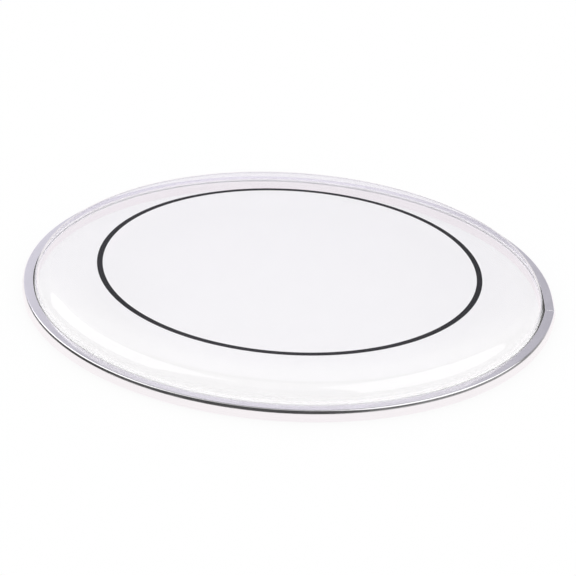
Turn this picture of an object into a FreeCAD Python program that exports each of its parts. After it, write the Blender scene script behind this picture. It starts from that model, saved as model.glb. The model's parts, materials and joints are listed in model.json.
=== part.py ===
"""Clear two-ply drum head with a black ring, in an aluminium channel hoop.

The head lies on its hoop. The origin is the centre of the hoop's bottom face, and +Z points from the hoop
to the playing face. All sizes are millimetres. Each piece is a half section turned about Z.
"""
import FreeCAD
import Part
import math
import os

# Driving dimensions of the hoop, a bent strip of sheet metal
hoop_inner_diameter = 307.6
hoop_height = 7.1
strip_thickness = 0.8
flange_width = 6.4
shoulder_bend_radius = 0.15
shoulder_slope = 50.0
shoulder_flat = 0.05
wall_bend_radius = 2.75
foot_bend_radius = 0.4
butt_joint_gap = 0.4
butt_joint_azimuth = -9.0

# Driving dimensions of the two plies, and of what lies between them
film_thickness = 0.19
layer_thickness = 0.10
crown_radius = 10.1
crown_start_depth = 0.8
edge_bend_radius = 0.8
ring_inset = 27.45
ring_width = 3.4

# Clearances, and the resin that locks the plies in the hoop
skirt_clearance = 0.22
slot_width = 0.7
slot_depth = 1.5
wall_freeboard = 0.6
film_edge_clearance = 0.8
lock_hole_margin = 1.1
lock_hole_spacing = 8.0
layer_gap = 0.3

# Radii, from the bore outwards
bore_radius = hoop_inner_diameter / 2
inner_wall_radius = bore_radius + strip_thickness
stack_thickness = 2 * film_thickness + layer_thickness
skirt_radius = inner_wall_radius + skirt_clearance + stack_thickness
lip_radius = skirt_radius + slot_width
outer_radius = lip_radius + flange_width
outer_wall_radius = outer_radius - strip_thickness
field_radius = skirt_radius - crown_radius

# Heights, from the hoop's bottom face upwards
resin_level = hoop_height - slot_depth
inner_wall_height = resin_level + wall_freeboard
film_top = hoop_height - crown_start_depth + crown_radius
film_edge_level = (strip_thickness + resin_level + stack_thickness) / 2

# The punched edge of the plies
film_edge_radius = outer_wall_radius - film_edge_clearance
edge_start_radius = skirt_radius + edge_bend_radius
lock_circle_radius = (edge_start_radius + film_edge_radius) / 2
lock_hole_radius = (film_edge_radius - edge_start_radius) / 2 - lock_hole_margin
lock_hole_count = round(2 * math.pi * lock_circle_radius / lock_hole_spacing)

# The ring and the bonding layer, in the gap between the plies
layer_top = film_top - film_thickness
layer_bottom = layer_top - layer_thickness
ring_outer_radius = field_radius - ring_inset
ring_inner_radius = ring_outer_radius - ring_width
bond_inner_radius = ring_outer_radius + layer_gap

centre = FreeCAD.Vector(0, 0, 0)
up = FreeCAD.Vector(0, 0, 1)


def section_point(radius, height):
    """A point of a half section, which lies in the XZ plane."""
    return FreeCAD.Vector(radius, 0, height)


def rounded_path(corners, bend_radii):
    """Edges that follow the corners, with a tangent arc at each corner between the two ends."""
    edges = []
    start = corners[0]
    for before, corner, after, bend in zip(corners, corners[1:], corners[2:], bend_radii):
        to_before = (before - corner).normalize()
        to_after = (after - corner).normalize()
        half_angle = to_before.getAngle(to_after) / 2
        to_centre = (to_before + to_after).normalize()
        setback = bend / math.tan(half_angle)
        arc_start = corner + to_before * setback
        arc_middle = corner + to_centre * (bend / math.sin(half_angle) - bend)
        arc_end = corner + to_after * setback
        edges.append(Part.makeLine(start, arc_start))
        edges.append(Part.Arc(arc_start, arc_middle, arc_end).toShape())
        start = arc_end
    edges.append(Part.makeLine(start, corners[-1]))
    return edges


def turned(edges, sweep=360.0):
    """The solid that a closed half section sweeps about Z, by a number of degrees."""
    section = Part.Face(Part.Wire(Part.__sortEdges__(edges)))
    return section.revolve(centre, up, sweep)


def washer(small_radius, large_radius, bottom, top):
    """A flat ring."""
    corners = [
        section_point(small_radius, bottom),
        section_point(large_radius, bottom),
        section_point(large_radius, top),
        section_point(small_radius, top),
    ]
    return turned(Part.makePolygon(corners + corners[:1]).Edges)


def shoulder_corners(depth, wall_bend, shoulder_bend):
    """The two corners of the shoulder, where a short slope joins the outer wall to the flange."""
    slope = math.radians(shoulder_slope)
    wall_setback = wall_bend * math.tan((math.pi / 2 - slope) / 2)
    flange_setback = shoulder_bend * math.tan(slope / 2)
    run = wall_setback + shoulder_flat + flange_setback
    wall_top = section_point(outer_radius - depth, hoop_height - depth - run * math.sin(slope))
    flange_edge = section_point(outer_radius - depth - run * math.cos(slope), hoop_height - depth)
    return [wall_top, flange_edge]


def strip_face(depth):
    """One face of the bent strip, at a depth below its outside: inner wall, web, outer wall, flange."""
    half_strip = strip_thickness / 2
    inside_by = strip_thickness - depth
    foot_bend = foot_bend_radius + inside_by
    wall_bend = wall_bend_radius + inside_by
    shoulder_bend = shoulder_bend_radius + inside_by
    inner_wall_end = section_point(bore_radius + depth, inner_wall_height - half_strip)
    inner_foot = section_point(bore_radius + depth, depth)
    outer_foot = section_point(outer_radius - depth, depth)
    shoulder = shoulder_corners(depth, wall_bend, shoulder_bend)
    lip_end = section_point(lip_radius + half_strip, hoop_height - depth)
    corners = [inner_wall_end, inner_foot, outer_foot] + shoulder + [lip_end]
    return rounded_path(corners, [foot_bend, foot_bend, wall_bend, shoulder_bend])


def channel_section():
    """The closed section of the hoop's channel, with half-round free edges."""
    outside = strip_face(0)
    inside = strip_face(strip_thickness)
    half_strip = strip_thickness / 2
    wall_tip = section_point(bore_radius + half_strip, inner_wall_height)
    lip_tip = section_point(lip_radius, hoop_height - half_strip)
    wall_edge = Part.Arc(outside[0].firstVertex().Point, wall_tip, inside[0].firstVertex().Point)
    lip_edge = Part.Arc(outside[-1].lastVertex().Point, lip_tip, inside[-1].lastVertex().Point)
    return outside + inside + [wall_edge.toShape(), lip_edge.toShape()]


def hoop():
    """The channel bent to a ring, whose two ends stop short of each other at the butt joint."""
    gap_angle = math.degrees(butt_joint_gap / outer_radius)
    ring = turned(channel_section(), 360 - gap_angle)
    ring.rotate(centre, up, butt_joint_azimuth + gap_angle / 2)
    return ring


def film_face(depth):
    """One face of a ply, at a depth below the playing face: field, crown, skirt, outward edge."""
    middle = section_point(0, film_top - depth)
    crown = section_point(skirt_radius - depth, film_top - depth)
    skirt_foot = section_point(skirt_radius - depth, film_edge_level - depth)
    edge = section_point(film_edge_radius, film_edge_level - depth)
    return rounded_path([middle, crown, skirt_foot, edge], [crown_radius - depth, edge_bend_radius + depth])


def lock_holes():
    """Pegs for the holes punched all round the edge of the plies."""
    pegs = []
    for step in range(lock_hole_count):
        angle = 2 * math.pi * step / lock_hole_count
        across = lock_circle_radius * math.cos(angle)
        along = lock_circle_radius * math.sin(angle)
        foot = FreeCAD.Vector(across, along, strip_thickness)
        pegs.append(Part.makeCylinder(lock_hole_radius, resin_level - strip_thickness, foot, up))
    return Part.makeCompound(pegs)


def ply(outer_depth):
    """One ply, from its outer face to one film thickness below it, punched along its edge."""
    outer_face = film_face(outer_depth)
    inner_face = film_face(outer_depth + film_thickness)
    at_axis = Part.makeLine(outer_face[0].firstVertex().Point, inner_face[0].firstVertex().Point)
    at_edge = Part.makeLine(outer_face[-1].lastVertex().Point, inner_face[-1].lastVertex().Point)
    whole = turned(outer_face + inner_face + [at_axis, at_edge])
    return whole.cut(lock_holes())


def resin(plies):
    """What the channel holds up to the resin level, round and through the edges of the plies."""
    inside = strip_face(strip_thickness)
    mouth = Part.makeLine(inside[-1].lastVertex().Point, inside[0].firstVertex().Point)
    cavity = turned(inside + [mouth])
    below_level = washer(bore_radius, outer_radius, 0, resin_level)
    return cavity.common(below_level).cut(plies)


top_film = ply(0)
bottom_film = ply(film_thickness + layer_thickness)
pieces = {
    "hoop_channel": hoop(),
    "resin_ring": resin([top_film, bottom_film]),
    "top_film": top_film,
    "bottom_film": bottom_film,
    "black_ring": washer(ring_inner_radius, ring_outer_radius, layer_bottom, layer_top),
    "bond_layer": washer(bond_inner_radius, field_radius, layer_bottom, layer_top),
}

os.makedirs("parts", exist_ok=True)
for name, shape in pieces.items():
    shape.exportStep(os.path.join("parts", name + ".step"))
    print(name, "solids", len(shape.Solids), "valid", shape.isValid(), "volume", round(shape.Volume, 1))
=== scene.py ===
# %% [markdown]
# # A clear drum head
#
# A drum head is a thin clear skin with a formed collar, locked into a metal hoop. This lesson dresses a
# measured solid model of one: the solids say where everything is, and the cells below give each piece a finer
# mesh and its real finish. Everything is in metres, in the solid model's own frame, so nothing has to be
# fitted.

# %% Load the measured frame
import bpy
import json
import math
from mathutils import Matrix, Vector


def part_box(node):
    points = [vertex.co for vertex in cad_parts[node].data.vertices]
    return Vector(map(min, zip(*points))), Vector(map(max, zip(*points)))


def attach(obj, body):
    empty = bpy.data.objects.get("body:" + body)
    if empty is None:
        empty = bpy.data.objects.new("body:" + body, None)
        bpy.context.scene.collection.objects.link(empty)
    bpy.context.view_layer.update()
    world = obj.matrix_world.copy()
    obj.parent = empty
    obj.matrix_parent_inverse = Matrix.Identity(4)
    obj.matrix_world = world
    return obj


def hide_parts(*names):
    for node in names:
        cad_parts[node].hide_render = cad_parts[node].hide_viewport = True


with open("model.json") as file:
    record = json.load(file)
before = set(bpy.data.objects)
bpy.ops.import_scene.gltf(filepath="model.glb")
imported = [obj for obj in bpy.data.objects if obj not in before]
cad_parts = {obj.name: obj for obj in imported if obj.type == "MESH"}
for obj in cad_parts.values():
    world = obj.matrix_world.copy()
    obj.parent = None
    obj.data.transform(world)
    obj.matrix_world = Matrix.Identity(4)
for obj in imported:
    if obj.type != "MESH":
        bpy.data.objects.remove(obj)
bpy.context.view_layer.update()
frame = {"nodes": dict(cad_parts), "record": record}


def to_print(point):
    """A point's coordinates in metres, short enough to print."""
    return [round(number, 4) for number in point]


# %% [markdown]
# The hoop, the film and the ring all turn about one axis, so a few radii and heights describe the whole head.
# The bore is read from the frame, since it is what meets the drum. The rest follows from it outwards: metal,
# a little play, the plies, the slot and the flange.

# %% Sizes of the hoop, from the bore outwards
mm = 0.001
shell_bore = next(mount for mount in frame["record"]["mounts"] if mount["name"] == "shell_bore")
bore_radius = shell_bore["dims"]["r_mm"] * mm
hoop_low, hoop_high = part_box("hoop_channel")
outer_radius = min(hoop_high.x, hoop_high.y, -hoop_low.x, -hoop_low.y)
hoop_height = hoop_high.z

strip_thickness = 0.8 * mm
slot_width = 0.7 * mm
slot_depth = 1.5 * mm
wall_freeboard = 0.6 * mm
film_thickness = 0.19 * mm
layer_thickness = 0.10 * mm
skirt_clearance = 0.22 * mm

stack_thickness = 2 * film_thickness + layer_thickness
skirt_radius = bore_radius + strip_thickness + skirt_clearance + stack_thickness
lip_radius = skirt_radius + slot_width
resin_level = hoop_height - slot_depth
inner_wall_height = resin_level + wall_freeboard
print("hoop outside radius", round(outer_radius / mm, 2), "mm, lip", round(lip_radius / mm, 2), "mm")

# %% [markdown]
# Each section is a path with rounded corners, drawn once in radius and height. A bend in sheet metal and the
# crown of a moulded film are both arcs that touch their straight neighbours, so one helper draws both.

# %% A path with rounded corners
flat_margin = 0.15 * mm
short_run = 4 * flat_margin


def corner_arc(before, corner, after, bend, arc_step):
    """The points of the arc that rounds off one corner, or the corner itself where it is sharp."""
    if bend == 0.0:
        return [corner]
    to_before = (before - corner).normalized()
    to_after = (after - corner).normalized()
    half_angle = to_before.angle(to_after) / 2
    centre = corner + (to_before + to_after).normalized() * (bend / math.sin(half_angle))
    arm = corner + to_before * (bend / math.tan(half_angle)) - centre
    last_arm = corner + to_after * (bend / math.tan(half_angle)) - centre
    turn = -arm.angle_signed(last_arm)
    steps = math.ceil(abs(turn) / arc_step)
    return [centre + Matrix.Rotation(turn * step / steps, 2) @ arm for step in range(steps + 1)]


def rounded_path(corners, arc_step, closed=False):
    """Points along corners of (radius, height, bend). A long run is held flat close to its two ends."""
    spots = [Vector(corner[:2]) for corner in corners]
    bends = [corner[2] for corner in corners]
    before = spots[-1:] + spots[:-1]
    after = spots[1:] + spots[:1]
    arcs = [corner_arc(*corner, arc_step) for corner in zip(before, spots, after, bends)]
    points = []
    for arc, next_arc in zip(arcs, arcs[1:] + arcs[:1] * closed):
        run = next_arc[0] - arc[-1]
        inset = run.normalized() * flat_margin
        points += arc
        if run.length > short_run and arc[-1].x > flat_margin:
            points += [arc[-1] + inset, next_arc[0] - inset]
    return points if closed else points + arcs[-1]


print("straight runs are held flat", round(flat_margin / mm, 2), "mm from their ends")

# %% [markdown]
# A shader or a modifier is a tree of small nodes. A few helpers keep the cells short: one places a node and
# fills its inputs by name, and the others do one step of arithmetic each. They work in materials, in the
# world and in Geometry Nodes.

# %% Helpers for node trees


def place(tree, kind, inputs=None, **settings):
    """Add a node. Settings are its own options; inputs are filled by name, by a link or by a value."""
    made = tree.nodes.new(kind)
    for option, value in settings.items():
        setattr(made, option, value)
    for name, value in (inputs or {}).items():
        if isinstance(value, bpy.types.NodeSocket):
            tree.links.new(value, made.inputs[name])
        else:
            made.inputs[name].default_value = value
    return made


def reckon(tree, operation, *terms):
    """One step of arithmetic on numbers or sockets; returns the result's socket."""
    return place(tree, "ShaderNodeMath", dict(enumerate(terms)), operation=operation).outputs[0]


def reckon_vector(tree, operation, inputs, result="Vector"):
    """One step of arithmetic on vectors; returns the result's socket, a Vector or a Value."""
    return place(tree, "ShaderNodeVectorMath", inputs, operation=operation).outputs[result]


def product(tree, first, *others):
    """All the terms multiplied together."""
    for other in others:
        first = reckon(tree, "MULTIPLY", first, other)
    return first


def fade(tree, value, start, end, low=0.0, high=1.0):
    """A smooth change from low to high while the value goes from start to end."""
    limits = {"Value": value, "From Min": start, "From Max": end, "To Min": low, "To Max": high}
    return place(tree, "ShaderNodeMapRange", limits, interpolation_type="SMOOTHSTEP").outputs["Result"]


print("helpers ready: place, reckon, reckon_vector, product, fade")

# %% [markdown]
# Real hoops are rolled: a straight strip is bent to a channel and then round to a ring, and its two ends meet
# at a butt joint. The node tree below does the same. It draws the section along a straight line and then
# bends the line round the axis, so a closed ring, a ring with a gap and a domed film all come from one rule.
# The ends of a bent strip spring outwards a little. Joint Bulge says how far, and the two reaches say over
# how much of the ring.

# %% The turning tree
turning_inputs = [
    ("Section", "NodeSocketGeometry"),
    ("Steps Round", "NodeSocketInt"),
    ("Start Angle", "NodeSocketFloat"),
    ("Sweep Angle", "NodeSocketFloat"),
    ("Closed Ends", "NodeSocketBool"),
    ("Joint Bulge", "NodeSocketFloat"),
    ("First Reach", "NodeSocketFloat"),
    ("Last Reach", "NodeSocketFloat"),
    ("Finish", "NodeSocketMaterial"),
]
bulge_power = 2.0
weld_distance = 0.001 * mm


def new_tree(name, inputs):
    """An empty Geometry Nodes tree with one geometry output; returns it with its named inputs."""
    tree = bpy.data.node_groups.new(name, "GeometryNodeTree")
    for label, kind in inputs:
        tree.interface.new_socket(label, in_out="INPUT", socket_type=kind)
    tree.interface.new_socket("Piece", in_out="OUTPUT", socket_type="NodeSocketGeometry")
    return tree, place(tree, "NodeGroupInput").outputs


def end_tree(tree, mesh, finish):
    """Smooth the mesh, make instances real, give it its finish and send it out."""
    smooth = place(tree, "GeometryNodeSetShadeSmooth", {"Geometry": mesh})
    real = place(tree, "GeometryNodeRealizeInstances", {"Geometry": smooth.outputs[0]})
    done = place(tree, "GeometryNodeSetMaterial", {"Geometry": real.outputs[0], "Material": finish})
    place(tree, "NodeGroupOutput", {"Piece": done.outputs[0]})


def swept_section(tree, given):
    """The section, drawn along one unit of the Y axis."""
    line = place(tree, "GeometryNodeCurvePrimitiveLine", {"Start": (0, 0, 0), "End": (0, 1, 0)})
    points = reckon(tree, "ADD", given["Steps Round"], 1)
    stepped = place(tree, "GeometryNodeResampleCurve", {"Curve": line.outputs[0], "Count": points})
    section = place(tree, "GeometryNodeMeshToCurve", {"Mesh": given["Section"]})
    sweep_inputs = {
        "Curve": stepped.outputs[0],
        "Profile Curve": section.outputs[0],
        "Fill Caps": given["Closed Ends"],
    }
    return place(tree, "GeometryNodeCurveToMesh", sweep_inputs).outputs[0]


def joint_swelling(tree, given, from_first):
    """How far a point springs outwards, as a share of the bulge: 1 at either end and 0 beyond its reach."""
    from_last = reckon(tree, "SUBTRACT", given["Sweep Angle"], from_first)
    first_share = reckon(tree, "DIVIDE", from_first, given["First Reach"])
    last_share = reckon(tree, "DIVIDE", from_last, given["Last Reach"])
    closeness = reckon(tree, "SUBTRACT", 1.0, reckon(tree, "MINIMUM", first_share, last_share))
    return reckon(tree, "POWER", reckon(tree, "MAXIMUM", closeness, 0.0), bulge_power)


def make_turning_tree():
    """Sweep a section along a straight line, then bend the line round the Z axis."""
    tree, given = new_tree("Turned piece", turning_inputs)
    swept = swept_section(tree, given)
    here = place(tree, "GeometryNodeInputPosition").outputs[0]
    spot = place(tree, "ShaderNodeSeparateXYZ", {"Vector": here}).outputs
    turn = reckon(tree, "MULTIPLY_ADD", spot["Y"], given["Sweep Angle"], given["Start Angle"])
    from_first = reckon(tree, "MULTIPLY", spot["Y"], given["Sweep Angle"])
    swelling = joint_swelling(tree, given, from_first)
    radius = reckon(tree, "MULTIPLY_ADD", swelling, given["Joint Bulge"], spot["X"])
    bent_inputs = {
        "X": reckon(tree, "MULTIPLY", radius, reckon(tree, "COSINE", turn)),
        "Y": reckon(tree, "MULTIPLY", radius, reckon(tree, "SINE", turn)),
        "Z": spot["Z"],
    }
    bent = place(tree, "ShaderNodeCombineXYZ", bent_inputs).outputs[0]
    ring = place(tree, "GeometryNodeSetPosition", {"Geometry": swept, "Position": bent})
    weld_inputs = {"Geometry": ring.outputs[0], "Distance": weld_distance}
    welded = place(tree, "GeometryNodeMergeByDistance", weld_inputs)
    end_tree(tree, welded.outputs[0], given["Finish"])
    return tree


turning_tree = make_turning_tree()
print("turning tree has", len(turning_tree.nodes), "nodes")

# %% [markdown]
# A modifier's inputs are reached by the hidden identifier of each socket, not by the name that the panel
# shows. The helper sets them all before the tree first runs, and another keeps the result as a plain mesh, so
# that no live modifier is left on a finished piece.

# %% Run a tree and keep the mesh
steps_round = 480
full_turn = 2 * math.pi
no_reach = (0.001, 0.001)
sharp_angle = math.radians(40.0)


def add_tree(piece, tree, values):
    """Put a tree on a piece, with each input set by its socket's identifier."""
    modifier = piece.modifiers.new(tree.name, "NODES")
    modifier.node_group = tree
    for socket in tree.interface.items_tree:
        if socket.in_out == "INPUT" and socket.name in values:
            modifier[socket.identifier] = values[socket.name]


def keep_mesh(piece):
    """Swap a piece's mesh for what its modifiers make, take them off and mark the sharp edges."""
    shown = piece.evaluated_get(bpy.context.evaluated_depsgraph_get())
    mesh = bpy.data.meshes.new_from_object(shown)
    mesh.name = piece.name
    piece.modifiers.clear()
    piece.data = mesh
    mesh.set_sharp_from_angle(angle=sharp_angle)
    print(piece.name, "has", len(mesh.vertices), "vertices and", len(mesh.polygons), "faces")


def section_object(name, points, closed):
    """An object whose mesh is one section, in radius and height, as the turning tree wants it."""
    count = len(points)
    joins = [(step, step + 1) for step in range(count - 1)] + [(count - 1, 0)] * closed
    mesh = bpy.data.meshes.new(name)
    mesh.from_pydata([(point.x, -point.y, 0) for point in points], joins, [])
    piece = bpy.data.objects.new(name, mesh)
    bpy.context.scene.collection.objects.link(piece)
    return piece


def turned_values(finish, start=0.0, sweep=full_turn, closed_ends=False, bulge=0.0, reaches=no_reach):
    """The turning tree's inputs, for a whole ring unless the call says otherwise."""
    return {
        "Steps Round": steps_round,
        "Start Angle": start,
        "Sweep Angle": sweep,
        "Closed Ends": closed_ends,
        "Joint Bulge": bulge,
        "First Reach": reaches[0],
        "Last Reach": reaches[1],
        "Finish": finish,
    }


print("rings are turned in", steps_round, "steps")

# %% [markdown]
# Every finish starts from where a point lies on the piece and from some noise, so that no surface is one flat
# colour. The noise mostly stays between two values, and the helpers stretch that range into a roughness, a
# colour or a small relief.

# %% Helpers for finishes
white = (1, 1, 1, 1)
noise_range = (0.3, 0.7)


def new_finish(name):
    """An empty material; returns it with its tree."""
    finish = bpy.data.materials.new(name)
    finish.use_nodes = True
    finish.node_tree.nodes.clear()
    return finish, finish.node_tree


def end_finish(tree, shader):
    """Make a shader the finish's surface."""
    place(tree, "ShaderNodeOutputMaterial", {"Surface": shader.outputs[0]})


def blend(tree, share, first, second):
    """A shader that goes from the first to the second as the share goes from 0 to 1."""
    return place(tree, "ShaderNodeMixShader", {0: share, 1: first.outputs[0], 2: second.outputs[0]})


def mixed_colour(tree, share, dark, light):
    """A colour that goes from dark to light as the share goes from 0 to 1."""
    made = place(tree, "ShaderNodeMix", data_type="RGBA")
    colour_inputs = [socket for socket in made.inputs if socket.type == "RGBA"]
    colour_inputs[0].default_value = (*dark, 1)
    colour_inputs[1].default_value = (*light, 1)
    tree.links.new(share, made.inputs[0])
    return next(socket for socket in made.outputs if socket.type == "RGBA")


def varied(tree, noise, low, high):
    """A value that follows a noise from low to high."""
    return fade(tree, noise, *noise_range, low, high)


def relief(tree, height, strength, depth):
    """A surface made slightly uneven by a noise."""
    bump_inputs = {"Height": height, "Strength": strength, "Distance": depth}
    return place(tree, "ShaderNodeBump", bump_inputs).outputs[0]


def speckle(tree, scale, detail):
    """Noise that is alike in every direction."""
    spot = place(tree, "ShaderNodeTexCoord").outputs["Object"]
    noise_inputs = {"Vector": spot, "Scale": scale, "Detail": detail}
    return place(tree, "ShaderNodeTexNoise", noise_inputs).outputs[0]


def whereabouts(tree):
    """Where a shaded point lies: its place in plan, its distance from the axis, and its Y and Z."""
    spot = place(tree, "ShaderNodeTexCoord").outputs["Object"]
    plan = reckon_vector(tree, "MULTIPLY", {0: spot, 1: (1, 1, 0)})
    radius = reckon_vector(tree, "LENGTH", {0: plan}, "Value")
    part = place(tree, "ShaderNodeSeparateXYZ", {"Vector": spot}).outputs
    return {"plan": plan, "radius": radius, "Y": part["Y"], "Z": part["Z"]}


print("noise is read from", noise_range[0], "to", noise_range[1])

# %% [markdown]
# The hoop is bare aluminium strip. Rolling leaves fine lines along its length, so they run round the ring,
# and handling adds broader dull patches. The pattern reads the direction round the axis slowly and the
# distance across the strip quickly, which stretches plain noise into rolling lines. It drives colour,
# roughness and bump. Where the strip was cut, along the joint and on top of the inner wall, it is paler and
# less like a mirror.

# %% Finish: rolled aluminium
edge_break = 0.12 * mm
joint_azimuth = math.radians(-9.0)
burr_width = 0.4 * mm
sheared_dullness = 0.45
line_roughness = 0.6
line_strength = 0.08
line_depth = 0.05 * mm
dull_metal = (0.89, 0.88, 0.895)
bright_metal = (0.98, 0.97, 0.985)
metal_roughness = (0.13, 0.22)


def rolling_lines(tree, lay, fineness, detail=4.0):
    """Noise drawn out round the Z axis: lay is its pace round the ring, fineness its pace across it."""
    at = whereabouts(tree)
    heading = reckon_vector(tree, "NORMALIZE", {0: at["plan"]})
    slow = reckon_vector(tree, "SCALE", {0: heading, "Scale": lay})
    across = reckon(tree, "MULTIPLY", reckon(tree, "SUBTRACT", at["radius"], at["Z"]), fineness)
    drawn = place(tree, "ShaderNodeCombineXYZ", {"Z": across}).outputs[0]
    where = reckon_vector(tree, "ADD", {0: slow, 1: drawn})
    noise_inputs = {"Vector": where, "Scale": 1.0, "Detail": detail, "Roughness": line_roughness}
    return place(tree, "ShaderNodeTexNoise", noise_inputs).outputs[0]


def joint_burr(tree, at):
    """How much a point belongs to the burr along the butt joint, from 0 to 1."""
    along_joint = (math.cos(joint_azimuth), math.sin(joint_azimuth), 0)
    across_joint = (-math.sin(joint_azimuth), math.cos(joint_azimuth), 0)
    ahead = reckon_vector(tree, "DOT_PRODUCT", {0: at["plan"], 1: along_joint}, "Value")
    aside = reckon_vector(tree, "DOT_PRODUCT", {0: at["plan"], 1: across_joint}, "Value")
    near_joint = fade(tree, reckon(tree, "ABSOLUTE", aside), burr_width, burr_width / 2)
    return reckon(tree, "MULTIPLY", near_joint, reckon(tree, "GREATER_THAN", ahead, 0.0))


def sheared_top(tree, at):
    """How much a point belongs to the cut top of the inner wall, from 0 to 1."""
    high = reckon(tree, "GREATER_THAN", at["Z"], inner_wall_height - edge_break)
    inside = fade(tree, at["radius"], skirt_radius, skirt_radius - stack_thickness)
    return reckon(tree, "MULTIPLY", high, inside)


def rolled_aluminium():
    """Bare strip with rolling lines, dull handling marks and paler cut edges."""
    finish, tree = new_finish("rolled aluminium")
    lines = rolling_lines(tree, lay=5.0, fineness=1400.0)
    patches = rolling_lines(tree, lay=9.0, fineness=120.0, detail=3.0)
    at = whereabouts(tree)
    sheared = reckon(tree, "MAXIMUM", joint_burr(tree, at), sheared_top(tree, at))
    metal_inputs = {
        "Base Color": mixed_colour(tree, lines, dull_metal, bright_metal),
        "Metallic": reckon(tree, "MULTIPLY_ADD", sheared, -sheared_dullness, 1.0),
        "Roughness": varied(tree, patches, *metal_roughness),
        "Normal": relief(tree, lines, line_strength, line_depth),
    }
    end_finish(tree, place(tree, "ShaderNodeBsdfPrincipled", metal_inputs))
    return finish


aluminium = rolled_aluminium()
print("finish:", aluminium.name)

# %% [markdown]
# The section of the hoop is one strip: inner wall, web, outer wall and flange, with free edges that are only
# lightly broken. Every bend has two radii, one strip thickness apart, so the strip keeps its thickness all
# the way round. The shoulder has two bends, a tight one at the flange and an easy one into the outer wall,
# which together make its narrow highlight. At the joint the two ends spring outwards by a millimetre.

# %% Piece: the channel hoop
shoulder_bend = 0.15 * mm
shoulder_slope = math.radians(50.0)
shoulder_flat = 0.05 * mm
wall_bend = 2.75 * mm
foot_bend = 0.4 * mm
joint_gap = 0.12 * mm
joint_bulge = 1.0 * mm
joint_reaches = (math.radians(9.0), math.radians(20.0))
metal_arc_step = math.radians(9.0)

outer_foot_bend = foot_bend + strip_thickness
inner_wall_radius = bore_radius + strip_thickness
outer_wall_radius = outer_radius - strip_thickness
flange_underside = hoop_height - strip_thickness
gap_angle = joint_gap / outer_radius


def shoulder_corners(depth):
    """The shoulder's two corners, from the outer wall to the flange, on the strip's face at a depth."""
    inside_by = strip_thickness - depth
    to_wall = (wall_bend + inside_by) * math.tan((math.pi / 2 - shoulder_slope) / 2)
    to_flange = (shoulder_bend + inside_by) * math.tan(shoulder_slope / 2)
    run = to_wall + shoulder_flat + to_flange
    wall_top = hoop_height - depth - run * math.sin(shoulder_slope)
    flange_edge = outer_radius - depth - run * math.cos(shoulder_slope)
    return [
        (outer_radius - depth, wall_top, wall_bend + inside_by),
        (flange_edge, hoop_height - depth, shoulder_bend + inside_by),
    ]


strip_corners = [
    (bore_radius, inner_wall_height, edge_break),
    (bore_radius, 0.0, outer_foot_bend),
    (outer_radius, 0.0, outer_foot_bend),
    *shoulder_corners(0.0),
    (lip_radius, hoop_height, edge_break),
    (lip_radius, flange_underside, edge_break),
    *reversed(shoulder_corners(strip_thickness)),
    (outer_wall_radius, strip_thickness, foot_bend),
    (inner_wall_radius, strip_thickness, foot_bend),
    (inner_wall_radius, inner_wall_height, edge_break),
]
channel_section = rounded_path(strip_corners, metal_arc_step, closed=True)
channel_hoop = section_object("channel_hoop", channel_section, closed=True)
hoop_values = turned_values(
    aluminium,
    start=joint_azimuth + gap_angle / 2,
    sweep=full_turn - gap_angle,
    closed_ends=True,
    bulge=joint_bulge,
    reaches=joint_reaches,
)
add_tree(channel_hoop, turning_tree, hoop_values)
keep_mesh(channel_hoop)
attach(channel_hoop, "root")
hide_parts("hoop_channel")

# %% [markdown]
# The skin is two plies of clear polyester. What a face lets through has a faint tint. Over the field and on
# the far side that tint is darkened with painted shade, for the shaded floor seen through it. Towards the
# crown and on the viewer's side it is clearer, as painted light. Faint drawing marks vary the tint.

# %% Clear film: what it lets through
clearest_tint = (1.0, 0.998, 1.0)
tint_with_painted_shade = (0.9773, 0.9743, 0.9813)
marks_share = 0.2
# Where the painted shade over the field lifts, by distance from the axis and by side.
shade_fades_from = 112.0 * mm
shade_fades_to = 150.0 * mm
lit_side_from = -110.0 * mm
lit_side_to = -20.0 * mm
far_crown_light = 0.3
near_light_reach = 120.0 * mm
near_painted_light = 0.27


def film_tint_and_painted_shade(tree, marks, at):
    """The tint of what a face lets through, with painted shade over the field and on the far side."""
    # Painted shade: darker over the field and on the far side, clearer towards the crown and the viewer's
    # side.
    crown_light = fade(tree, at["radius"], shade_fades_from, shade_fades_to, 0.0, 1.0 - marks_share)
    kept = fade(tree, at["Y"], lit_side_from, lit_side_to, 1.0, far_crown_light)
    lift = fade(tree, at["Y"], near_light_reach, -near_light_reach, 0.0, near_painted_light)
    plain = reckon(tree, "MULTIPLY_ADD", crown_light, kept, lift)
    clearness = reckon(tree, "MULTIPLY_ADD", marks, marks_share, plain)
    return mixed_colour(tree, clearness, tint_with_painted_shade, clearest_tint)


# Between these radii the painted shade over the field gives way to the clearer crown.
print("film is drawn thin from", round(shade_fades_from / mm), "to", round(shade_fades_to / mm), "mm from the axis")

# %% [markdown]
# Each polished ply also sends a little light back, more at a low angle, until the film hides what is behind
# it. Only the face that a ray meets from outside mirrors. If both faces of a ply did, light would be caught
# between them and the film's edge would look dark. Low on the collar, where moulding stretched the film most,
# it turns hazy and then milky, a little less on the far side.

# %% Clear film: what it sends back
face_on_share = 0.035
edge_on_share = 0.7
steep_from = 0.62
film_roughness = (0.02, 0.05)
hazy_from = 12.5 * mm
hazy_to = 8.0 * mm
hazy_share = 0.08
milky_from = 8.3 * mm
milky_to = 7.0 * mm
milky_share = 0.72
blush_near = 0.0
blush_far = 120.0 * mm
far_blush = 0.5
dull_milk = (0.97, 0.97, 0.97)
bright_milk = (0.99, 0.99, 0.99)
milk_passed = 0.5


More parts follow.
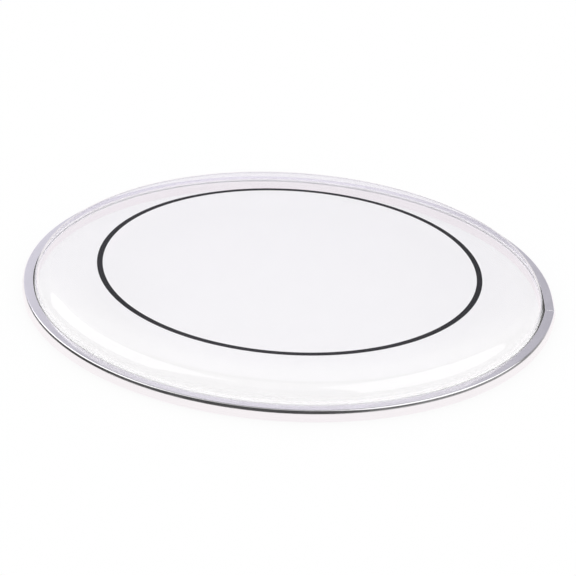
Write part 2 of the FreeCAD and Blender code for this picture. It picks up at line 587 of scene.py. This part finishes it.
def mirrored_share(tree):
    """How much a face mirrors: more the steeper it is seen, and nothing where it is met from behind."""
    facing = place(tree, "ShaderNodeLayerWeight").outputs["Facing"]
    slant = fade(tree, facing, steep_from, 1.0)
    mirrored = reckon(tree, "MULTIPLY_ADD", slant, edge_on_share - face_on_share, face_on_share)
    met_behind = place(tree, "ShaderNodeNewGeometry").outputs["Backfacing"]
    return reckon(tree, "MULTIPLY", mirrored, reckon(tree, "SUBTRACT", 1.0, met_behind))


def milky_film(tree, marks):
    """Stretched film, which scatters light to both sides."""
    milk_colour = mixed_colour(tree, marks, dull_milk, bright_milk)
    sent_back = place(tree, "ShaderNodeBsdfDiffuse", {"Color": milk_colour})
    let_through = place(tree, "ShaderNodeBsdfTranslucent", {"Color": milk_colour})
    return blend(tree, milk_passed, sent_back, let_through)


def stretching(tree, at):
    """How milky the film is, by its height and by its distance to the far side."""
    haze = fade(tree, at["Z"], hazy_from, hazy_to, 0.0, hazy_share)
    blush = fade(tree, at["Z"], milky_from, milky_to, 0.0, milky_share)
    uneven = fade(tree, at["Y"], blush_near, blush_far, 1.0, far_blush)
    return reckon(tree, "MULTIPLY_ADD", blush, uneven, haze)


def clear_film():
    """Polished film: see-through, with a mirrored share and a milky share."""
    finish, tree = new_finish("clear film")
    marks = rolling_lines(tree, lay=4.0, fineness=60.0, detail=3.0)
    at = whereabouts(tree)
    clear = place(tree, "ShaderNodeBsdfTransparent", {"Color": film_tint_and_painted_shade(tree, marks, at)})
    gloss_inputs = {"Color": white, "Roughness": varied(tree, marks, *film_roughness)}
    gloss = place(tree, "ShaderNodeBsdfGlossy", gloss_inputs)
    polished = blend(tree, mirrored_share(tree), clear, gloss)
    end_finish(tree, blend(tree, stretching(tree, at), polished, milky_film(tree, marks)))
    return finish


film = clear_film()
print("finish:", film.name)

# %% [markdown]
# A ply is moulded hot: a flat field, a round crown, a straight skirt and an edge turned outwards. The edge is
# punched all round, so that the resin in the hoop grips it. The field, crown and skirt are turned like the
# hoop. The holes repeat, so a second tree sets a peg on each point of a circle and cuts all the pegs at once.

# %% The punching tree
punching_inputs = [
    ("Ply", "NodeSocketGeometry"),
    ("Holes", "NodeSocketInt"),
    ("Circle Radius", "NodeSocketFloat"),
    ("Hole Radius", "NodeSocketFloat"),
    ("Hole Height", "NodeSocketFloat"),
    ("Peg Length", "NodeSocketFloat"),
    ("Finish", "NodeSocketMaterial"),
]
hole_sides = 16


def make_punching_tree():
    """Cut a circle of round holes through a ply's edge."""
    tree, given = new_tree("Punched edge", punching_inputs)
    circle_inputs = {"Vertices": given["Holes"], "Radius": given["Circle Radius"]}
    circle = place(tree, "GeometryNodeMeshCircle", circle_inputs)
    peg_inputs = {"Vertices": hole_sides, "Radius": given["Hole Radius"], "Depth": given["Peg Length"]}
    peg = place(tree, "GeometryNodeMeshCylinder", peg_inputs)
    row_inputs = {"Points": circle.outputs[0], "Instance": peg.outputs[0]}
    pegs = place(tree, "GeometryNodeInstanceOnPoints", row_inputs)
    lift = place(tree, "ShaderNodeCombineXYZ", {"Z": given["Hole Height"]}).outputs[0]
    lifted = place(tree, "GeometryNodeTransform", {"Geometry": pegs.outputs[0], "Translation": lift})
    real = place(tree, "GeometryNodeRealizeInstances", {"Geometry": lifted.outputs[0]})
    cut_inputs = {"Mesh 1": given["Ply"], "Mesh 2": real.outputs[0]}
    cut = place(tree, "GeometryNodeMeshBoolean", cut_inputs, operation="DIFFERENCE", solver="MANIFOLD")
    end_tree(tree, cut.outputs[0], given["Finish"])
    return tree


punching_tree = make_punching_tree()
print("punching tree has", len(punching_tree.nodes), "nodes")

# %% [markdown]
# The two plies are one shape at two depths, a film and a thin layer apart. The section is left open at the
# axis, because the turning tree welds its two ends there into a closed middle.

# %% Pieces: the two plies
crown_radius = 10.1 * mm
crown_start_depth = 0.8 * mm
edge_bend = 0.8 * mm
film_edge_clearance = 0.8 * mm
lock_hole_margin = 1.1 * mm
lock_hole_spacing = 8.0 * mm
film_arc_step = math.radians(3.0)

film_top = hoop_height - crown_start_depth + crown_radius
film_edge_level = (strip_thickness + resin_level + stack_thickness) / 2
film_edge_radius = outer_wall_radius - film_edge_clearance
edge_start_radius = skirt_radius + edge_bend
lock_circle_radius = (edge_start_radius + film_edge_radius) / 2
lock_hole_radius = (film_edge_radius - edge_start_radius) / 2 - lock_hole_margin
lock_hole_count = round(full_turn * lock_circle_radius / lock_hole_spacing)
peg_length = 2 * stack_thickness


def ply_section(depth):
    """Both faces of a ply whose outer face lies at a depth below the playing face, from the axis and back."""
    inner = depth + film_thickness
    corners = [
        (0.0, film_top - depth, 0.0),
        (skirt_radius - depth, film_top - depth, crown_radius - depth),
        (skirt_radius - depth, film_edge_level - depth, edge_bend + depth),
        (film_edge_radius, film_edge_level - depth, 0.0),
        (film_edge_radius, film_edge_level - inner, 0.0),
        (skirt_radius - inner, film_edge_level - inner, edge_bend + inner),
        (skirt_radius - inner, film_top - inner, crown_radius - inner),
        (0.0, film_top - inner, 0.0),
    ]
    return rounded_path(corners, film_arc_step)


def ply(name, node, depth):
    """One ply, turned and punched, riding in the place of its solid."""
    piece = section_object(name, ply_section(depth), closed=False)
    add_tree(piece, turning_tree, turned_values(film))
    hole_values = {
        "Holes": lock_hole_count,
        "Circle Radius": lock_circle_radius,
        "Hole Radius": lock_hole_radius,
        "Hole Height": film_edge_level - depth - film_thickness / 2,
        "Peg Length": peg_length,
        "Finish": film,
    }
    add_tree(piece, punching_tree, hole_values)
    keep_mesh(piece)
    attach(piece, "root")
    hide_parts(node)


ply("playing_ply", "top_film", 0.0)
ply("resting_ply", "bottom_film", film_thickness + layer_thickness)
print(lock_hole_count, "lock holes of radius", round(lock_hole_radius / mm, 2), "mm in each ply")

# %% [markdown]
# Between the plies lie two thin layers: the black ring, a band of opaque ink or film, and the clear bond
# outside it. The band has a faint mottle, and no shine of its own because film covers it. The bond wets both
# plies, so it mirrors almost nothing, and its spread shows as the faintest clouding.

# %% Finishes: black band and clear bond
darkest_band = (0.012, 0.012, 0.013)
palest_band = (0.026, 0.025, 0.028)
band_roughness = (0.45, 0.65)
mottle_strength = 0.1
mottle_depth = 0.02 * mm
dullest_bond = (0.996, 0.996, 0.998)
clearest_bond = (1.0, 1.0, 1.0)
bond_shares = (0.001, 0.004)
bond_roughness = 0.2


def make_black_band():
    """Black band with a faint mottle, as ink has on film."""
    finish, tree = new_finish("black band")
    mottle = speckle(tree, scale=900.0, detail=5.0)
    band_inputs = {
        "Base Color": mixed_colour(tree, mottle, darkest_band, palest_band),
        "Roughness": varied(tree, mottle, *band_roughness),
        "Specular IOR Level": 0.0,
        "Normal": relief(tree, mottle, mottle_strength, mottle_depth),
    }
    end_finish(tree, place(tree, "ShaderNodeBsdfPrincipled", band_inputs))
    return finish


def make_clear_bond():
    """Clear glue with faint clouds."""
    finish, tree = new_finish("clear bond")
    clouds = speckle(tree, scale=60.0, detail=3.0)
    tints = mixed_colour(tree, clouds, dullest_bond, clearest_bond)
    clear = place(tree, "ShaderNodeBsdfTransparent", {"Color": tints})
    gloss = place(tree, "ShaderNodeBsdfGlossy", {"Color": white, "Roughness": bond_roughness})
    end_finish(tree, blend(tree, varied(tree, clouds, *bond_shares), clear, gloss))
    return finish


black_band = make_black_band()
clear_bond = make_clear_bond()
print("finishes:", black_band.name, "and", clear_bond.name)

# %% [markdown]
# The faces of the two layers would touch the plies exactly, and two faces in one place flicker, so each layer
# is drawn a hair thinner than its gap.

# %% Pieces: the black ring and the bond layer
ring_inset = 27.45 * mm
ring_width = 3.4 * mm
layer_gap = 0.3 * mm
layer_play = 0.01 * mm

field_radius = skirt_radius - crown_radius
layer_top = film_top - film_thickness - layer_play
layer_bottom = film_top - film_thickness - layer_thickness + layer_play
ring_outer_radius = field_radius - ring_inset
ring_inner_radius = ring_outer_radius - ring_width
bond_inner_radius = ring_outer_radius + layer_gap


def thin_layer(name, node, small_radius, large_radius, finish):
    """A flat ring in the gap between the plies, riding in the place of its solid."""
    corners = [
        Vector((small_radius, layer_bottom)),
        Vector((large_radius, layer_bottom)),
        Vector((large_radius, layer_top)),
        Vector((small_radius, layer_top)),
    ]
    piece = section_object(name, corners, closed=True)
    add_tree(piece, turning_tree, turned_values(finish))
    keep_mesh(piece)
    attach(piece, "root")
    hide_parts(node)


thin_layer("damping_ring", "black_ring", ring_inner_radius, ring_outer_radius, black_band)
thin_layer("bond_film", "bond_layer", bond_inner_radius, field_radius, clear_bond)
print("ring from", round(ring_inner_radius / mm, 1), "to", round(ring_outer_radius / mm, 1), "mm")

# %% [markdown]
# The resin is poured into the channel and sets round the punched edges. Only its narrow top shows, so the
# solid's own shape is right and it needs a finish alone: a dull casting with tiny pits, with painted shade in
# the open slot and painted light on the bore side of the film.

# %% Finish: cast resin
cloud_share = 0.12
dark_resin = (0.09, 0.089, 0.087)
pale_resin = (0.80, 0.79, 0.78)
resin_roughness = (0.4, 0.6)
pit_strength = 0.3
pit_depth = 0.1 * mm


def make_cast_resin():
    """Dull casting with a cloudy colour and small pits, painted dark as shade in the slot and pale as light
    inside.
    """
    finish, tree = new_finish("cast resin")
    clouds = speckle(tree, scale=120.0, detail=4.0)
    pits = speckle(tree, scale=1500.0, detail=2.0)
    radius = whereabouts(tree)["radius"]
    # Painted shade and light: dark in the open slot, pale on the bore side of the film.
    painted_light_inside = fade(tree, radius, skirt_radius, skirt_radius - stack_thickness, 0.0, 1.0 - cloud_share)
    shade = reckon(tree, "MULTIPLY_ADD", clouds, cloud_share, painted_light_inside)
    resin_inputs = {
        "Base Color": mixed_colour(tree, shade, dark_resin, pale_resin),
        "Roughness": varied(tree, pits, *resin_roughness),
        "Normal": relief(tree, pits, pit_strength, pit_depth),
    }
    end_finish(tree, place(tree, "ShaderNodeBsdfPrincipled", resin_inputs))
    return finish


resin_ring = frame["nodes"]["resin_ring"]
resin_ring.material_slots[0].material = make_cast_resin()
print("resin keeps its solid, with", len(resin_ring.data.polygons), "faces")

# %% [markdown]
# A shiny thing is mostly a picture of the room. In a product studio two soft boxes hang over the object, left
# and right. Each is drawn as a polygon on a ceiling one unit up, and a ray belongs to it where it passes
# inside all of its sides.

# %% The soft boxes
left_box = [(-0.16, 0.00), (-0.60, 1.45), (-3.00, 2.00), (-1.15, -0.55)]
right_box = [(0.12, -0.05), (0.75, -1.00), (2.10, -0.25), (2.25, 0.95), (0.35, 0.90)]
box_edge = 0.06
lowest_ray = 0.02


def soft_box(tree, across, along, corners):
    """How much of a ray goes to the box with these corners, from 0 to 1."""
    inside_by = []
    for start, end in zip(corners, corners[1:] + corners[:1]):
        side = (Vector(end) - Vector(start)).normalized()
        rest = side.y * start[0] - side.x * start[1]
        along_part = reckon(tree, "MULTIPLY_ADD", along, side.x, rest)
        inside_by.append(reckon(tree, "MULTIPLY_ADD", across, -side.y, along_part))
    least = inside_by[0]
    for other in inside_by[1:]:
        least = reckon(tree, "MINIMUM", least, other)
    return fade(tree, least, -box_edge, box_edge)


def both_boxes(tree, part):
    """How much of a ray goes to either box; part is the ray's heading."""
    height = reckon(tree, "MAXIMUM", part["Z"], lowest_ray)
    across = reckon(tree, "DIVIDE", part["X"], height)
    along = reckon(tree, "DIVIDE", part["Y"], height)
    left = soft_box(tree, across, along, left_box)
    return reckon(tree, "ADD", left, soft_box(tree, across, along, right_box))


print("soft boxes with", len(left_box), "and", len(right_box), "corners")

# %% [markdown]
# A pale wall stands behind the object. It fades to the sides and upwards. A flag, which is a dark cloth on a
# stand, shades its right side, and a narrow dark gap parts it left of the middle. Both show as darker
# stretches where the flange mirrors the wall. All limits are parts of a ray's heading, whose length is one.

# %% The back wall
wall_sides = (0.55, 0.80)
wall_top = (0.85, 0.43)
wall_middle = (0.05, 0.17)
off_middle_level = 0.82
flag_side = (-0.02, 0.22)
flag_foot = (0.15, 0.33)
flag_top = (0.50, 0.46)
flag_top_share = 0.45
flag_shade = 0.45
gap_centre = -0.118
gap_half_width = 0.052
gap_foot = (0.42, 0.47)
gap_shade = 0.42
least_level = 0.01


def shaded_by(tree, shade, *shares):
    """The light left where a dark thing covers a share of the wall."""
    return reckon(tree, "MULTIPLY_ADD", product(tree, *shares), -shade, 1.0)


def back_wall(tree, part):
    """How bright the wall is along a ray, from 0 to 1."""
    up_squared = reckon(tree, "MULTIPLY", part["Z"], part["Z"])
    level = reckon(tree, "SQRT", reckon(tree, "SUBTRACT", 1.0, up_squared))
    ahead = reckon(tree, "DIVIDE", part["Y"], reckon(tree, "MAXIMUM", level, least_level))
    width = fade(tree, ahead, *wall_sides)
    height = fade(tree, part["Z"], *wall_top)
    sideways = reckon(tree, "ABSOLUTE", part["X"])
    middle = fade(tree, sideways, *wall_middle, 1.0, off_middle_level)
    flag_width = fade(tree, part["X"], *flag_side)
    flag_height = fade(tree, part["Z"], *flag_foot)
    flag_thinning = fade(tree, part["Z"], *flag_top, flag_top_share, 1.0)
    flag = shaded_by(tree, flag_shade, flag_width, flag_height, flag_thinning)
    from_gap = reckon(tree, "ABSOLUTE", reckon(tree, "SUBTRACT", part["X"], gap_centre))
    gap_width = fade(tree, from_gap, gap_half_width, 0.0)
    gap = shaded_by(tree, gap_shade, gap_width, fade(tree, part["Z"], *gap_foot))
    return product(tree, width, height, middle, flag, gap)


print("wall gap at", gap_centre, "across, and", 2 * gap_half_width, "wide")

# %% [markdown]
# The rest of the room is dark, with a faint glow overhead and some light low on the right. The room is
# painted on the world instead of built from lamps. Rays that bounce off metal or film see the painted room,
# rays that light dull surfaces see an even white sky, and the camera itself sees plain white.

# %% The painted studio
sky_level = 1.6
dark_room = 0.05
box_level = 1.25
wall_colour = (0.79, 0.77, 0.87)
ceiling_level = 0.5
ceiling_fade = (0.83, 0.95)
side_light = 0.25
side_reach = (0.3, 0.8)
side_top = (0.45, 0.20)


def lamp_light(tree, part):
    """How bright everything but the wall is along a ray."""
    ceiling = fade(tree, part["Z"], *ceiling_fade, 0.0, ceiling_level)
    boxes = reckon(tree, "MULTIPLY_ADD", both_boxes(tree, part), box_level, dark_room)
    lamps = reckon(tree, "MAXIMUM", boxes, ceiling)
    side_width = fade(tree, part["X"], *side_reach)
    side = reckon(tree, "MULTIPLY", side_width, fade(tree, part["Z"], *side_top))
    return reckon(tree, "MULTIPLY_ADD", side, side_light, lamps)


def paint_studio():
    """Fill the scene's world."""
    world = bpy.data.worlds.new("studio")
    bpy.context.scene.world = world
    world.use_nodes = True
    tree = world.node_tree
    tree.nodes.clear()
    heading = place(tree, "ShaderNodeTexCoord").outputs["Generated"]
    part = place(tree, "ShaderNodeSeparateXYZ", {"Vector": heading}).outputs
    plain = lamp_light(tree, part)
    spread = place(tree, "ShaderNodeCombineXYZ", {"X": plain, "Y": plain, "Z": plain}).outputs[0]
    wall = reckon_vector(tree, "SCALE", {0: wall_colour, "Scale": back_wall(tree, part)})
    room = reckon_vector(tree, "ADD", {0: wall, 1: spread})
    mirrored = place(tree, "ShaderNodeBackground", {"Color": room})
    sky = place(tree, "ShaderNodeBackground", {"Color": white, "Strength": sky_level})
    backdrop = place(tree, "ShaderNodeBackground", {"Color": white})
    ray = place(tree, "ShaderNodeLightPath").outputs
    lit = blend(tree, ray["Is Glossy Ray"], sky, mirrored)
    seen = blend(tree, ray["Is Camera Ray"], lit, backdrop)
    place(tree, "ShaderNodeOutputWorld", {"Surface": seen.outputs[0]})
    print("world", world.name, "has", len(tree.nodes), "nodes")


paint_studio()

# %% [markdown]
# The floor is white paper. Most of what the camera sees of it is plain white, so the background stays clean,
# and the rest is ordinary matt paper, which keeps the soft shadow under the hoop. Metal mirrors it a little
# warmer. It lies a hair below the hoop, so that no two faces share a place.

# %% The floor
floor_size = 40.0
floor_drop = 0.02 * mm
paper_share = 0.07
plain_level = 0.96
dull_paper = (0.95, 0.95, 0.95)
bright_paper = (0.955, 0.955, 0.955)
mirrored_paper = (1.0, 0.965, 0.97)


def white_paper():
    """Matt white paper: mostly plain white for the camera, and plain but warmer where metal mirrors it."""
    finish, tree = new_finish("white paper")
    fibres = speckle(tree, scale=400.0, detail=3.0)
    paper_colour = mixed_colour(tree, fibres, dull_paper, bright_paper)
    paper = place(tree, "ShaderNodeBsdfDiffuse", {"Color": paper_colour})
    plain = place(tree, "ShaderNodeEmission", {"Color": white, "Strength": plain_level})
    warm = place(tree, "ShaderNodeEmission", {"Color": (*mirrored_paper, 1)})
    ray = place(tree, "ShaderNodeLightPath").outputs
    looked_at = reckon(tree, "MAXIMUM", ray["Is Camera Ray"], ray["Is Transmission Ray"])
    shown = blend(tree, reckon(tree, "MULTIPLY", looked_at, 1.0 - paper_share), paper, plain)
    end_finish(tree, blend(tree, ray["Is Glossy Ray"], shown, warm))
    return finish


half_floor = floor_size / 2
floor_corners = [
    (-half_floor, -half_floor, 0),
    (half_floor, -half_floor, 0),
    (half_floor, half_floor, 0),
    (-half_floor, half_floor, 0),
]
floor_mesh = bpy.data.meshes.new("floor")
floor_mesh.from_pydata(floor_corners, [], [(0, 1, 2, 3)])
floor_mesh.materials.append(white_paper())
floor = bpy.data.objects.new("floor", floor_mesh)
bpy.context.scene.collection.objects.link(floor)
floor.location.z = -floor_drop
print("floor", floor_size, "m square")

# %% [markdown]
# The camera stands in front, a little above, with a long lens. Its place comes from fitting the outlines of
# the hoop and the ring. It leans by a few degrees, which is why the head's right side sits lower in the
# picture.

# %% The camera
camera_distance = 0.98895
camera_elevation = math.radians(26.135)
camera_roll = math.radians(3.519)
aim_point = Vector((-0.00042, -0.0005, -0.00072))

camera_lens = bpy.data.cameras.new("camera")
camera_lens.lens = 100.0
camera_lens.sensor_width = 36.0
camera = bpy.data.objects.new("camera", camera_lens)
stand = Vector((0, -math.cos(camera_elevation), math.sin(camera_elevation))) * camera_distance
facing = (aim_point - stand).to_track_quat("-Z", "Y").to_matrix().to_4x4()
camera.matrix_world = Matrix.Translation(stand) @ facing @ Matrix.Rotation(camera_roll, 4, "Z")
bpy.context.scene.collection.objects.link(camera)
bpy.context.scene.camera = camera
print("camera at", to_print(stand))

# %% [markdown]
# A ray that looks through the head at its far hoop crosses many film faces, more than the renderer's usual
# limit for clear surfaces, so the limit is raised. Colours are shown as they are, without a film look.

# %% Picture settings
clear_faces_crossed = 32
bpy.context.scene.cycles.transparent_max_bounces = clear_faces_crossed
bpy.context.scene.view_settings.view_transform = "Standard"
print("clear faces allowed on one ray:", clear_faces_crossed)
